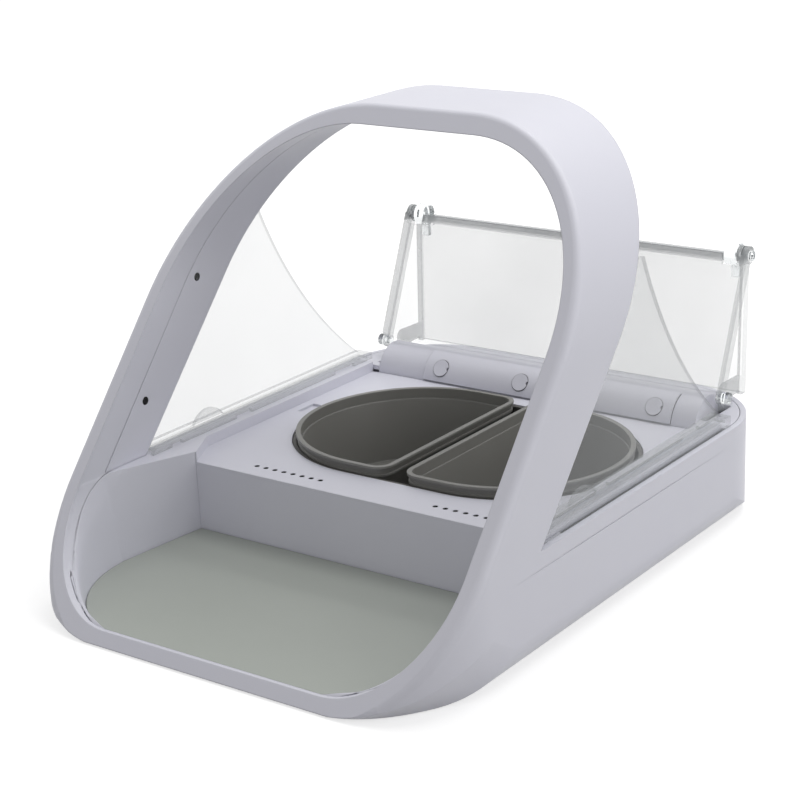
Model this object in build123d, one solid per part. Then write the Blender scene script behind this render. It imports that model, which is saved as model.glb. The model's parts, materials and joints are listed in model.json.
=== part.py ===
from build123d import *
import math
import os

# Microchip pet feeder: a leaning hoop over a mat tray, two half bowls in a deck
# behind it, clear side shields, and a two-panel clear lid that folds up at the back.
# Millimetres. +X is right, +Y is back, +Z is up; the origin is under the middle.

# ---- driving sizes -------------------------------------------------------
# housing
BODY_W = 230.0            # across the side walls
BODY_L = 316.0            # front lip to rear wall
BODY_H = 212.0            # table to the top of the hoop
FOOT_STAND = 0.8          # the rubber feet hold the housing this far off the table
WALL_TOP = 51.0           # height of the side and rear walls
WALL = 3.0                # moulded wall of the lower housing
PLAN_R = 50.0             # corners of the housing seen from above
HOOP_R = 88.0             # outer shoulder of the hoop seen from the front
SIDE_FOOT_R = 14.0        # rounding where the side walls meet the underside
CORNER_FOOT_R = 55.0      # rounding of the front lower corners
CORNER_FALL = 0.6         # fall of that rounding towards the rear, mm per mm
REAR_FOOT_R = 21.0        # the same at the rear wall
LIP_R = 1.0               # the same at the front lip
CREASE_Z = 43.0           # character line along each side wall
CREASE_CUT = 0.35         # its depth
CREASE_BOW = 14300.0      # its radius, which lets it fade out at both ends

# hoop
FACE_LEAN = 40.0          # the front face leans back from upright, degrees
REAR_LEAN = 41.6          # the rear edge of the hoop
REAR_EDGE_Y = -115.0      # where the rear edge would meet the table
BAND_SIDE = 8.6           # hoop thickness at the sides
BAND_TOP = 8.6            # hoop thickness at the top
BAND_LIP = 5.4            # height of the front lip
FACE_EDGE_R = 4.0         # rounding of the front face's outer edge
FACE_RIM = 2.0            # depth of the rim that hides the tray liner's front edge
HOOP_INNER_R = 75.0       # inner shoulder of the hoop
MOUTH_R = 47.0            # lower corners of the mouth
HOOP_SKIN = 2.6           # outer skin of the hoop over the coil pocket
HOOP_COVER_T = 1.4        # inner cover that hides the reading coil
SEAM_BACK = 17.5          # the cover starts this far behind the front face
SEAM_GAP = 0.3            # open line between the hoop and its cover
COIL_T = 1.2              # reading coil, a flat winding
COIL_WIDTH = 12.0
SENSOR_D = 4.0            # round sensor windows in the cover
SENSOR_BACK = 8.5         # their distance behind the seam
SENSOR_Z = (79.1, 129.6)
SENSOR_T = 2.2

# front tray and mat
STEP_Y = -52.8            # front of the step up to the deck
BEND_Y = -97.0            # the tray's side walls stop widening here
TRAY_FLOOR_REAR = 88.5    # half widths of the tray far down
TRAY_FLOOR_BEND = 97.0
TRAY_FLOOR_FRONT = 100.5
TRAY_FLOOR_R = 50.0
TRAY_TOP_REAR = 89.0      # half width at the top of the tray, at the step
TRAY_TOP_R = 42.0
TRAY_TOP_Z = 54.0
TRAY_LOW_Z = -4.0         # the tray's walls are drawn down to here, under its floor
LINER_T = 1.6
DIP_Z = 20.0              # the liner's upper edge meets the face at this height
DIP_POINTS = ((-118.5, 37.0), (-107.4, 46.6))  # and runs through these points, y and z
DIP_RUN = 9.0             # up to its full height this far behind the bend
MAT_T = 1.6
MAT_REAR_Z = 13.6         # top of the mat at the step
MAT_FRONT_Z = 5.6         # top of the mat at the lip
MAT_GAP = 0.4

# deck and bowls
DECK_Z = 47.4             # top of the deck
DECK_T = 2.4
DECK_HALF = 98.5          # half width of the deck behind its front corners
DECK_CORNER_Y = -33.0     # the deck has its full width from here back
DECK_REAR_Y = 103.5
RIM_Z = 52.6              # top of the deck's side ledges
LEDGE_OUT = 109.8         # outer edge of the ledges
WELL_X = 8.0              # middle of the bowl well, a little right of the deck's middle
WELL_Y = 33.0
WELL_R = 61.0             # round ends of the well
WELL_RUN = 28.5           # well's middle to the middle of each round end
WELL_T = 2.0
WELL_FLOOR_Z = 12.0
WELL_FLANGE = 3.0
NOTCH = (-93.2, -86.0, 30.7, 44.0)  # finger notch beside the well, x and y
NOTCH_DEEP = 1.2
BOWL_X = 7.2              # middle between the two bowls
BOWL_R = 59.2             # round outer side of each bowl
BOWL_RUN = 27.4           # middle between the bowls to the middle of that round
BOWL_SPLIT = 4.5          # middle between the bowls to a bowl's flat side
BOWL_CORNER_R = 9.0
BOWL_RIM_Z = 51.9
BOWL_LIP_T = 1.4          # height of the two lips round the rim
BOWL_LIP_W = 1.2          # the rim's wall stands this far inside its upper lip
BOWL_BAND = 5.4           # height of the rim's wall between the lips
BOWL_WALL = 1.2
BOWL_STEP = 0.5           # small step inside, at the foot of the rim's wall
BOWL_DRAFT = 8.0          # the cup's walls lean in by this many degrees
HOLE_D = 2.6              # small holes in two rows in front of the bowls
HOLE_PITCH = 5.42
HOLE_COUNT = 8
HOLE_ROW_Y = -42.4
HOLE_ROW_STARTS = (-59.7, 42.9)

# side shields
SHIELD_X = 109.0          # middle of each clear side sheet
SHIELD_T = 2.0
SHIELD_TOP_Z = 154.0
SHIELD_TIP_Y = 27.0       # rear end of the sheet's top
SHIELD_MID = (51.3, 111.0)  # a point on its hollow rear edge
RAIL_IN = 102.1           # clear rail on the wall top, outside the lid's panels
RAIL_OUT = 112.4
RAIL_Z = 56.4
RAIL_T = 2.0
RAIL_END_Y = 108.0
RAIL_SLOTS = ((-54.0, -46.6), (-6.0, 6.0), (75.0, 92.0))
EAR_Y = -22.5
EAR_R = 13.0
EAR_X = 106.7
EAR_T = 1.8
EAR_TOP_Z = 62.6

# lid: two clear panels that fold on the knuckles at the upper corners
DRIVE_Y = 130.0           # drive shaft at the rear
DRIVE_Z = 44.0
FOLD_Y = 148.2            # fold hinge while the lid stands open
FOLD_Z = 125.3
EDGE_Y = 121.0            # front edge rollers while the lid stands open
EDGE_Z = 60.0
LID_HALF = 101.5          # outer half width of the front panel
LID_T = 2.2
LID_FLANGE = 5.5          # side flanges of the front panel
LID_EAR_R = 4.6
LID_CORNER_R = 9.0
PANEL_LIFT = 3.4          # underside of the panels above the fold axis, lid closed
PANEL_GAP = 0.8           # panel edge to the fold axis
REAR_HALF = 98.6          # outer half width of the rear panel
REAR_FLANGE = 3.0
ARM_T = 2.4
ARM_ELBOW = 16.0          # the arm runs this far from the shaft before it turns to the panel
ARM_W = 8.0
REAR_EDGE_BACK = 10.0     # rear edge of the rear panel ahead of the shaft, lid closed
SHAFT_D = 6.0
PIN_D = 3.0
KNOB_R = 5.6
KNOB_IN = 90.0
KNOB_LEG = 12.0
ROLLER_R = 3.0
ROLLER_OUT = 105.2

# rounded drive housing at the rear
DRUM_Y = 119.0
DRUM_Z = 45.5
DRUM_R = 15.2
DRUM_HALF = 95.0
DRUM_SLOPE = 21.0         # fall of the drum's back, degrees
COVER_T = 2.4
SLOT_GAP = 0.6            # room round the lid's arms in their slots
HATCH_X = 8.2             # middle of the screwed hatch on the drum
HATCH_HALF = 73.6
HATCH_T = 1.2
HATCH_ANGLES = (105.0, 170.0)
CAP_D = 9.2
CAP_PROUD = 0.1
CAP_NOTCH = 1.0           # pry notch across the edge of each cap
CAP_SEAT = 0.5            # underside of the caps above the drum
CAP_ANGLE = 144.0
CAP_SPREAD = (14.4, 63.6)  # screw caps either side of the hatch's middle
SCREW_D = 3.0

# drive
GEAR_MODULE = 0.6
GEAR_TEETH = 26
PINION_TEETH = 14
GEAR_W = 6.0
GEAR_X = -30.0
MOTOR_D = 16.0
MOTOR_L = 30.0
BEARING_X = 88.0
BEARING_W = 6.0
FRAME_T = 2.0

# underside, power and electronics
BASE_T = 1.6
BASE_HALF = 97.0
BASE_FRONT_Y = -44.0
BASE_REAR_Y = 98.0
BASE_R = 12.0
BASE_LEDGE = 6.0
CELL_D = 26.2             # C cells
CELL_L = 49.0
CELL_Y = 121.0
CELL_Z = 17.6
SPRING_L = 3.0
CONTACT_T = 0.5
CONTACT_W = 12.0
BAY_WALL = 1.4
BAY_OVER = 1.8            # cover over the cells
PAD_D = 12.0              # rubber feet
BUTTON_D = 9.0
BUTTON_X = 28.0
BUTTON_Z = 40.0
BUTTON_TRAVEL = 1.0
LENS_D = 3.0
BOARD_T = 1.6
BOARD_HALF = 45.0
BOARD_Y = 146.0
BOARD_H = 12.4
FIT = 0.3                 # clearance between pieces
RUN = 0.05                # radial clearance of a running fit

# ---- sizes that follow ---------------------------------------------------
HALF_W = BODY_W / 2
HALF_L = BODY_L / 2
MOUTH_HALF = HALF_W - BAND_SIDE
MOUTH_TOP = BODY_H - BAND_TOP
MOUTH_BOTTOM = FOOT_STAND + BAND_LIP
FACE_SLOPE = math.tan(math.radians(FACE_LEAN))
REAR_SLOPE = math.tan(math.radians(REAR_LEAN))
FAR = 600.0               # longer than anything in the feeder
TRAY_REACH = HALF_L - BAND_LIP
FLOOR_SLOPE = (MAT_REAR_Z - MAT_FRONT_Z) / (TRAY_REACH + STEP_Y)
FRONT_WALL_Y = STEP_Y + LINER_T + FIT + WALL
BOWL_UNDER_Z = WELL_FLOOR_Z + WELL_T + FIT
PANEL_Z = EDGE_Z + PANEL_LIFT
ARM = math.hypot(FOLD_Y - DRIVE_Y, FOLD_Z - DRIVE_Z)
FRONT_PANEL = math.hypot(FOLD_Y - EDGE_Y, FOLD_Z - EDGE_Z)
SHUT_FOLD_Y = DRIVE_Y - math.sqrt(ARM**2 - (EDGE_Z - DRIVE_Z) ** 2)
SHUT_EDGE_Y = SHUT_FOLD_Y - FRONT_PANEL
# turns about X that take each closed panel to its open place
REAR_TURN = math.degrees(
    math.atan2(FOLD_Z - DRIVE_Z, FOLD_Y - DRIVE_Y)
    - math.atan2(EDGE_Z - DRIVE_Z, SHUT_FOLD_Y - DRIVE_Y)
)
FRONT_TURN = math.degrees(math.atan2(FOLD_Z - EDGE_Z, FOLD_Y - EDGE_Y))
GEAR_R = GEAR_MODULE * GEAR_TEETH / 2
PINION_R = GEAR_MODULE * PINION_TEETH / 2
MOTOR_Y = DRIVE_Y - GEAR_R - PINION_R
CELL_TOP_Z = CELL_Z + CELL_D / 2
BAY_TOP_Z = CELL_TOP_Z + BAY_OVER
BAY_IN = FIT + BAY_WALL
BAY_OUT = BAY_IN + SPRING_L + 2 * CELL_L + CONTACT_T + RUN
FRAME_Z = BAY_TOP_Z + FRAME_T
SHELF_Z = WALL_TOP - COVER_T


# ---- helpers -------------------------------------------------------------
def block(x0, x1, y0, y1, z0, z1):
    """Box between two corners."""
    box = Box(x1 - x0, y1 - y0, z1 - z0)
    return Pos((x0 + x1) / 2, (y0 + y1) / 2, (z0 + z1) / 2) * box


def outline(points, radii):
    """Closed outline through the points, each corner with its own rounding."""
    face = make_face(Polyline(*points, close=True))
    for (u, v), radius in zip(points, radii):
        if radius > 0:
            corner = face.vertices().sort_by_distance((u, v, 0))[0]
            face = fillet(corner, radius)
    return face


def along_x(face, x0, x1):
    """Sketch drawn in Y (across) and Z (up), extruded from x0 to x1."""
    return Pos(x0, 0, 0) * extrude(Plane.YZ * face, amount=x1 - x0)


def along_y(face, y0, y1):
    """Sketch drawn in X (across) and Z (up), extruded from y0 to y1."""
    return Pos(0, y1, 0) * extrude(Plane.XZ * face, amount=y1 - y0)


def rod_x(x0, x1, y, z, diameter):
    """Round bar along X."""
    bar = Rot(0, 90, 0) * Cylinder(diameter / 2, x1 - x0)
    return Pos((x0 + x1) / 2, y, z) * bar


def rod_y(x, y0, y1, z, diameter):
    """Round bar along Y."""
    bar = Rot(90, 0, 0) * Cylinder(diameter / 2, y1 - y0)
    return Pos(x, (y0 + y1) / 2, z) * bar


def rod_z(x, y, z0, z1, diameter):
    """Round bar along Z."""
    return Pos(x, y, (z0 + z1) / 2) * Cylinder(diameter / 2, z1 - z0)


def behind(y_at_table, slope, back=0.0):
    """Everything behind a plane that leans back and crosses the full width."""
    y0 = y_at_table + back
    points = [
        (y0 - FAR * slope, -FAR),
        (y0 + FAR * slope, FAR),
        (y0 + FAR * slope + 2 * FAR, FAR),
        (y0 - FAR * slope + 2 * FAR, -FAR),
    ]
    return along_x(make_face(Polyline(*points, close=True)), -FAR, FAR)


def above_floor(height):
    """Everything above the sloping tray floor, moved up by a height."""
    rise = FAR * FLOOR_SLOPE
    z0 = MAT_REAR_Z + height
    points = [
        (STEP_Y - FAR, z0 - rise),
        (STEP_Y + FAR, z0 + rise),
        (STEP_Y + FAR, z0 + rise + FAR),
        (STEP_Y - FAR, z0 - rise + FAR),
    ]
    return along_x(make_face(Polyline(*points, close=True)), -FAR, FAR)


def mirror_x(shape):
    """Copy on the other side of the middle plane."""
    return mirror(shape, about=Plane.YZ)


def save(name, shape):
    """Write one node."""
    solids = shape.solids()
    node = solids[0] if len(solids) == 1 else Compound(children=list(solids))
    node.label = name
    export_step(node, os.path.join("parts", name + ".step"))


# ---- housing -------------------------------------------------------------
def body_blank(inset=0.0):
    """Rounded block that the whole housing is cut from."""
    half = HALF_W - inset
    reach = HALF_L - inset
    low = FOOT_STAND + inset
    high = BODY_H - inset
    corners = [(-half, -reach), (half, -reach), (half, reach), (-half, reach)]
    solid = extrude(outline(corners, [PLAN_R - inset] * 4), amount=BODY_H)
    front = outline(
        [(-half, low), (half, low), (half, high), (-half, high)],
        [SIDE_FOOT_R - inset, SIDE_FOOT_R - inset, HOOP_R - inset, HOOP_R - inset],
    )
    side = outline(
        [(-reach, low), (reach, low), (reach, high), (-reach, high)],
        [max(LIP_R - inset, 0), REAR_FOOT_R - inset, 0, 0],
    )
    solid = solid & along_y(front, -FAR, FAR) & along_x(side, -FAR, FAR)
    return solid & corner_form(half, low)


def corner_form(half, low):
    """Form with large lower corners that sinks towards the rear, so it rounds only the front."""
    corners = [(-half, low), (half, low), (half, FAR), (-half, FAR)]
    section = outline(corners, [CORNER_FOOT_R, CORNER_FOOT_R, 0, 0])
    start = Plane.XZ.offset(HALF_L)
    return extrude(start * section, amount=FAR, dir=(0, 1, -CORNER_FALL))


def mouth(offset=0.0):
    """The opening that the front face frames, run through from front to back."""
    half = MOUTH_HALF + offset
    low = MOUTH_BOTTOM - offset
    high = MOUTH_TOP + offset
    face = outline(
        [(-half, low), (half, low), (half, high), (-half, high)],
        [MOUTH_R + offset] * 2 + [HOOP_INNER_R + offset] * 2,
    )
    return along_y(face, -FAR, FAR)


def tray_outline(rear, bend, front, corner_r, reach, rear_y):
    """Plan of the tray at one height."""
    points = [
        (-rear, rear_y),
        (-bend, BEND_Y),
        (-front, -reach),
        (front, -reach),
        (bend, BEND_Y),
        (rear, rear_y),
    ]
    return outline(points, [0, 0, corner_r, corner_r, 0, 0])


def tray(offset=0.0, rear_extra=0.0):
    """Hollow of the front tray: walls that lean out, above its sloping floor."""
    rear_y = STEP_Y + rear_extra
    low = tray_outline(
        TRAY_FLOOR_REAR + offset,
        TRAY_FLOOR_BEND + offset,
        TRAY_FLOOR_FRONT + offset,
        TRAY_FLOOR_R + offset,
        TRAY_REACH - 1.0 + offset,
        rear_y,
    )
    high = tray_outline(
        TRAY_TOP_REAR + offset,
        MOUTH_HALF + offset,
        MOUTH_HALF + offset,
        TRAY_TOP_R + offset,
        TRAY_REACH + offset,
        rear_y,
    )
    solid = loft([Pos(0, 0, TRAY_LOW_Z) * low, Pos(0, 0, TRAY_TOP_Z) * high], ruled=True)
    return solid & above_floor(-MAT_T - offset)


def tray_trim(gap=0.0):
    """Side view of what the liner keeps; its upper edge dips to the front face."""
    top = RIM_Z + gap
    start = (-HALF_L + FACE_SLOPE * DIP_Z - gap, DIP_Z + gap)
    end = (BEND_Y + DIP_RUN, top)
    low = start[1]
    edges = [
        Polyline(end, (FAR, top), (FAR, -FAR), (-FAR, -FAR), (-FAR, low), start),
        Spline(start, *((y, z + gap) for y, z in DIP_POINTS), end),
    ]
    return along_x(make_face(edges), -FAR, FAR)


def ledge_blocks(gap=0.0):
    """Flat ledges between the tray's top edge and the side walls."""
    low = RIM_Z - DECK_T - gap
    hoop_foot_y = REAR_EDGE_Y + REAR_SLOPE * RIM_Z + FIT - gap
    under_hoop = MOUTH_HALF - FIT + gap
    wide = LEDGE_OUT + gap
    front = block(-under_hoop, under_hoop, BEND_Y - gap, hoop_foot_y, low, RIM_Z)
    rear = block(-wide, wide, hoop_foot_y, STEP_Y, low, RIM_Z)
    return front + rear


def crease(side):
    """Shallow line along the side wall that fades out at both ends."""
    return Pos(side * (HALF_W + CREASE_BOW - CREASE_CUT), 2, CREASE_Z) * Cylinder(CREASE_BOW, 0.5)


def cell_bay(side, gap=0.0):
    """Room for one row of two cells, open to the underside."""
    half = CELL_D / 2 + FIT + gap
    inner = BAY_IN - gap
    outer = BAY_OUT + gap
    bay = block(inner, outer, CELL_Y - half, CELL_Y + half, FOOT_STAND - 1, CELL_TOP_Z)
    return bay if side > 0 else mirror_x(bay)


def base_outline(inset=0.0):
    """Plan of the base plate."""
    half = BASE_HALF - inset
    front = BASE_FRONT_Y + inset
    rear = BASE_REAR_Y - inset
    points = [(-half, front), (half, front), (half, rear), (-half, rear)]
    return outline(points, [BASE_R - inset / 2] * 4)


def base_screw_places():
    """Screws along the long sides of the base plate."""
    inset = BASE_LEDGE / 2
    rows = (BASE_FRONT_Y + 14, (BASE_FRONT_Y + BASE_REAR_Y) / 2, BASE_REAR_Y - 14)
    return [(side * (BASE_HALF - inset), y) for side in (-1, 1) for y in rows]


def coil_pocket():
    """Deep pocket for the coil between the hoop's skin and the inner cover."""
    high = block(-FAR, FAR, -FAR, FAR, RIM_Z + WALL, FAR)
    slab = behind(-HALF_L, FACE_SLOPE, SEAM_BACK + WALL) - behind(REAR_EDGE_Y, REAR_SLOPE, -WALL)
    return body_blank(HOOP_SKIN) & slab & high


def soften_face(blank):
    """Rounds the outer edge of the leaning front face, down to its lower corners."""
    lean = math.radians(FACE_LEAN)
    forward = Vector(0, -math.cos(lean), math.sin(lean))
    leaning = [face for face in blank.faces() if face.normal_at().dot(forward) > 0.9999]
    front = max(leaning, key=lambda face: face.area)
    edges = [edge for edge in front.edges() if (edge @ 0.5).Z > FOOT_STAND + 2 * BAND_LIP]
    return fillet(edges, FACE_EDGE_R)


def make_housing():
    """Hoop, side walls and rear wall in one moulding."""
    face = behind(-HALF_L, FACE_SLOPE)
    hoop_rear = behind(REAR_EDGE_Y, REAR_SLOPE)
    high = block(-FAR, FAR, -FAR, FAR, WALL_TOP, FAR)
    blank = soften_face(body_blank() & face)
    shell = (blank - high) + (blank - hoop_rear)
    shell -= mouth() & high
    shell -= mouth() - behind(-HALF_L, FACE_SLOPE, FACE_RIM + 1)
    behind_rim = behind(-HALF_L, FACE_SLOPE, FACE_RIM)
    shell -= tray() & behind_rim
    shell -= (tray(LINER_T + FIT, LINER_T + FIT) & behind_rim) & tray_trim(FIT)
    shell -= body_blank(WALL) & block(-FAR, FAR, FRONT_WALL_Y, FAR, 0, WALL_TOP)
    shell -= ledge_blocks(FIT) & block(-FAR, FAR, -FAR, FAR, 0, WALL_TOP)
    shell -= block(-LEDGE_OUT - FIT, LEDGE_OUT + FIT, STEP_Y, FRONT_WALL_Y, SHELF_Z - FIT, RIM_Z)
    deck_gap = DECK_HALF + DECK_T + FIT
    shell -= block(-deck_gap, deck_gap, STEP_Y, FRONT_WALL_Y, DECK_Z - DECK_T - FIT, RIM_Z)
    shell -= extrude(base_outline(-FIT), amount=FOOT_STAND + BASE_T + RUN)
    shell -= extrude(base_outline(BASE_LEDGE), amount=2 * WALL)
    for x, y in base_screw_places():
        shell -= rod_z(x, y, 0, 2 * WALL, SCREW_D + 2 * RUN)
    for side in (-1, 1):
        shell -= cell_bay(side, -BAY_WALL + FIT) & block(-FAR, FAR, 0, FAR, 0, 2 * WALL)
        shell -= crease(side)
    cover_high = block(-FAR, FAR, -FAR, FAR, RIM_Z + FIT, FAR)
    shell -= mouth(HOOP_COVER_T + RUN) & behind(-HALF_L, FACE_SLOPE, SEAM_BACK) & cover_high
    shell -= coil_pocket()
    for x in (-BUTTON_X, BUTTON_X):
        shell -= rod_y(x, HALF_L - 2 * WALL, HALF_L + 1, BUTTON_Z, BUTTON_D + 2 * FIT)
    shell -= rod_y(0, HALF_L - 2 * WALL, HALF_L + 1, BUTTON_Z, LENS_D + 2 * RUN)
    return shell


def sensor_places():
    """Windows on both sides of the hoop, behind the seam."""
    places = []
    for z in SENSOR_Z:
        y = -HALF_L + FACE_SLOPE * z + SEAM_BACK + SENSOR_BACK
        places += [(-1, y, z), (1, y, z)]
    return places


def make_hoop_cover():
    """Thin inner cover of the hoop, from the seam to the hoop's rear edge."""
    high = block(-FAR, FAR, -FAR, FAR, RIM_Z + FIT, FAR)
    slab = behind(-HALF_L, FACE_SLOPE, SEAM_BACK + SEAM_GAP) - behind(REAR_EDGE_Y, REAR_SLOPE)
    cover = (mouth(HOOP_COVER_T) - mouth()) & slab & high
    for side, y, z in sensor_places():
        x = side * MOUTH_HALF
        cover -= rod_x(x - 9, x + 9, y, z, SENSOR_D + 2 * RUN)
    return cover


def make_coil():
    """Flat reading coil that follows the hoop behind its inner cover."""
    high = block(-FAR, FAR, -FAR, FAR, RIM_Z + WALL + FIT, FAR)
    start = SEAM_BACK + WALL + 1
    slab = behind(-HALF_L, FACE_SLOPE, start) - behind(-HALF_L, FACE_SLOPE, start + COIL_WIDTH)
    gap = HOOP_COVER_T + RUN
    coil = (mouth(gap + COIL_T) - mouth(gap)) & slab & high
    for side, y, z in sensor_places():
        x = side * (MOUTH_HALF + SENSOR_T)
        coil -= rod_x(x - 9, x + 9, y, z, SENSOR_D + 2 * FIT)
    return coil


def make_sensor_windows():
    """Four dark round windows, flush with the hoop's inner cover."""
    windows = []
    for side, y, z in sensor_places():
        inner = side * (MOUTH_HALF + RUN)
        outer = side * (MOUTH_HALF + RUN + SENSOR_T)
        windows.append(rod_x(min(inner, outer), max(inner, outer), y, z, SENSOR_D))
    return Compound(children=windows)


def make_tray_liner():
    """Floor, leaning walls and ledges of the front tray."""
    walls = tray(LINER_T) - tray()
    liner = (walls & tray_trim()) + (ledge_blocks() - tray(LINER_T))
    lifted = behind(-HALF_L, FACE_SLOPE, FACE_RIM + RUN)
    liner = liner & lifted
    return liner - block(-FAR, FAR, STEP_Y, FAR, -FAR, FAR)


def make_mat():
    """Soft mat that lies on the tray's sloping floor."""
    slab = tray(-MAT_GAP, -MAT_GAP) & above_floor(-MAT_T)
    return (slab - above_floor(0)) & behind(-HALF_L, FACE_SLOPE, FACE_RIM + 1)


# ---- deck and bowls ------------------------------------------------------
def stadium(inset=0.0):
    """Outline of the bowl well: two round ends joined by straight sides."""
    radius = WELL_R - inset
    left, right = WELL_X - WELL_RUN, WELL_X + WELL_RUN
    near, far = WELL_Y - radius, WELL_Y + radius
    edges = [
        ThreePointArc((left, far), (left - radius, WELL_Y), (left, near)),
        Line((left, near), (right, near)),
        ThreePointArc((right, near), (right + radius, WELL_Y), (right, far)),
        Line((right, far), (left, far)),
    ]
    return make_face(edges)


def raise_face(face, z0, z1):
    """Plan outline extruded between two heights."""
    return Pos(0, 0, z0) * extrude(face, amount=z1 - z0)


def deck_outline(grow=0.0):
    """Deck seen from above, with its cut front corners."""
    half = DECK_HALF + grow
    corner = TRAY_FLOOR_REAR + grow
    points = [
        (-corner, STEP_Y),
        (corner, STEP_Y),
        (half, DECK_CORNER_Y),
        (half, DECK_REAR_Y),
        (-half, DECK_REAR_Y),
        (-half, DECK_CORNER_Y),
    ]
    return make_face(Polyline(*points, close=True))


def make_deck():
    """Deck with its step, side ledges, bowl opening and two rows of small holes."""
    under = DECK_Z - DECK_T
    deck = raise_face(deck_outline(), under, DECK_Z)
    deck += tray(LINER_T, LINER_T) & block(-FAR, FAR, STEP_Y, STEP_Y + LINER_T, 0, DECK_Z)
    wall = raise_face(deck_outline(DECK_T), under, RIM_Z) - raise_face(deck_outline(), under, FAR)
    ledge = block(-LEDGE_OUT, LEDGE_OUT, STEP_Y, DECK_REAR_Y, RIM_Z - DECK_T, RIM_Z)
    ledge -= raise_face(deck_outline(), 0, FAR)
    deck += wall + ledge
    deck -= raise_face(stadium(), 0, FAR)
    deck -= block(*NOTCH, DECK_Z - NOTCH_DEEP, FAR)
    for start in HOLE_ROW_STARTS:
        for step in range(HOLE_COUNT):
            deck -= rod_z(start + step * HOLE_PITCH, HOLE_ROW_Y, under - 1, DECK_Z + 1, HOLE_D)
    return deck


def make_well():
    """Dark cup that the bowls stand in, hung under the deck."""
    top = DECK_Z - 0.4
    under = DECK_Z - DECK_T
    well = raise_face(stadium(FIT), WELL_FLOOR_Z, top)
    well += raise_face(stadium(-WELL_FLANGE), under - WELL_T, under)
    return well - raise_face(stadium(FIT + WELL_T), WELL_FLOOR_Z + WELL_T, FAR)


def bowl_outline(side, inset):
    """D-shaped outline of a bowl, its flat side towards the middle."""
    radius = BOWL_R - inset
    middle = BOWL_X + side * BOWL_RUN
    flat = BOWL_X + side * (BOWL_SPLIT + inset)
    near, far = WELL_Y - radius, WELL_Y + radius
    edges = [
        ThreePointArc((middle, far), (middle + side * radius, WELL_Y), (middle, near)),
        Polyline((middle, near), (flat, near), (flat, far), (middle, far)),
    ]
    face = make_face(edges)
    corners = face.vertices().sort_by_distance((flat, WELL_Y, 0))[:2]
    return fillet(corners, BOWL_CORNER_R - inset)


def bowl_cup(side, inset, low):
    """Cup under a bowl's rim; its walls lean in towards the bottom."""
    high = BOWL_RIM_Z - BOWL_BAND
    top = Pos(0, 0, high) * bowl_outline(side, inset)
    return extrude(top, amount=low - high, taper=BOWL_DRAFT)


def make_bowl(side):
    """Half bowl: two lips round its rim, an upright band between them and a leaning cup."""
    band_low = BOWL_RIM_Z - BOWL_BAND
    inner = BOWL_LIP_W + BOWL_WALL
    bowl = raise_face(bowl_outline(side, 0), BOWL_RIM_Z - BOWL_LIP_T, BOWL_RIM_Z)
    bowl += raise_face(bowl_outline(side, BOWL_LIP_W), band_low, BOWL_RIM_Z)
    bowl += raise_face(bowl_outline(side, BOWL_LIP_W / 2), band_low, band_low + BOWL_LIP_T)
    bowl += bowl_cup(side, BOWL_LIP_W, BOWL_UNDER_Z)
    bowl -= raise_face(bowl_outline(side, inner), band_low, FAR)
    return bowl - bowl_cup(side, inner + BOWL_STEP, BOWL_UNDER_Z + BOWL_WALL)


# ---- shields -------------------------------------------------------------
def make_shield(side):
    """Clear side sheet on its rail, with the rounded ear beside the closed lid's edge."""
    rail_y = -HALF_L
    rail = block(RAIL_IN, RAIL_OUT, rail_y, RAIL_END_Y, RIM_Z + FIT, RAIL_Z)
    rail -= block(RAIL_IN + RAIL_T, FAR, rail_y - 1, RAIL_END_Y - RAIL_T, 0, RAIL_Z - RAIL_T)
    skirt = block(RAIL_OUT - RAIL_T, RAIL_OUT, rail_y, RAIL_END_Y, WALL_TOP + FIT, RAIL_Z)
    rail += skirt
    for y0, y1 in RAIL_SLOTS:
        rail -= block(0, RAIL_IN + RAIL_T, y0, y1, 0, RAIL_Z - RAIL_T)
    low = RAIL_Z - RAIL_T
    front = -HALF_L
    edges = [
        Line((front, low), (RAIL_END_Y - 4, low)),
        Line((RAIL_END_Y - 4, low), (RAIL_END_Y - 4, RAIL_Z)),
        ThreePointArc((RAIL_END_Y - 4, RAIL_Z), SHIELD_MID, (SHIELD_TIP_Y, SHIELD_TOP_Z)),
        Polyline((SHIELD_TIP_Y, SHIELD_TOP_Z), (front, SHIELD_TOP_Z), (front, low)),
    ]
    sheet = along_x(make_face(edges), SHIELD_X - SHIELD_T / 2, SHIELD_X + SHIELD_T / 2)
    ear_z = EAR_TOP_Z - EAR_R
    ear = rod_x(EAR_X - EAR_T / 2, EAR_X + EAR_T / 2, EAR_Y, ear_z, 2 * EAR_R)
    ear = ear & block(-FAR, FAR, -FAR, FAR, low, FAR)
    shield = (rail + sheet + ear) & behind(REAR_EDGE_Y, REAR_SLOPE, FIT)
    return shield if side > 0 else mirror_x(shield)


# ---- lid -----------------------------------------------------------------
def open_front(shape):
    """Take a piece of the front panel from its closed place to its open one."""
    turned = Rot(FRONT_TURN, 0, 0) * (Pos(0, -SHUT_FOLD_Y, -EDGE_Z) * shape)
    return Pos(0, FOLD_Y, FOLD_Z) * turned


def open_rear(shape):
    """Take a piece of the rear panel from its closed place to its open one."""
    turned = Rot(REAR_TURN, 0, 0) * (Pos(0, -DRIVE_Y, -DRIVE_Z) * shape)
    return Pos(0, DRIVE_Y, DRIVE_Z) * turned


def both_sides(shape):
    """A piece and its mirror image."""
    return shape + mirror_x(shape)


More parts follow.
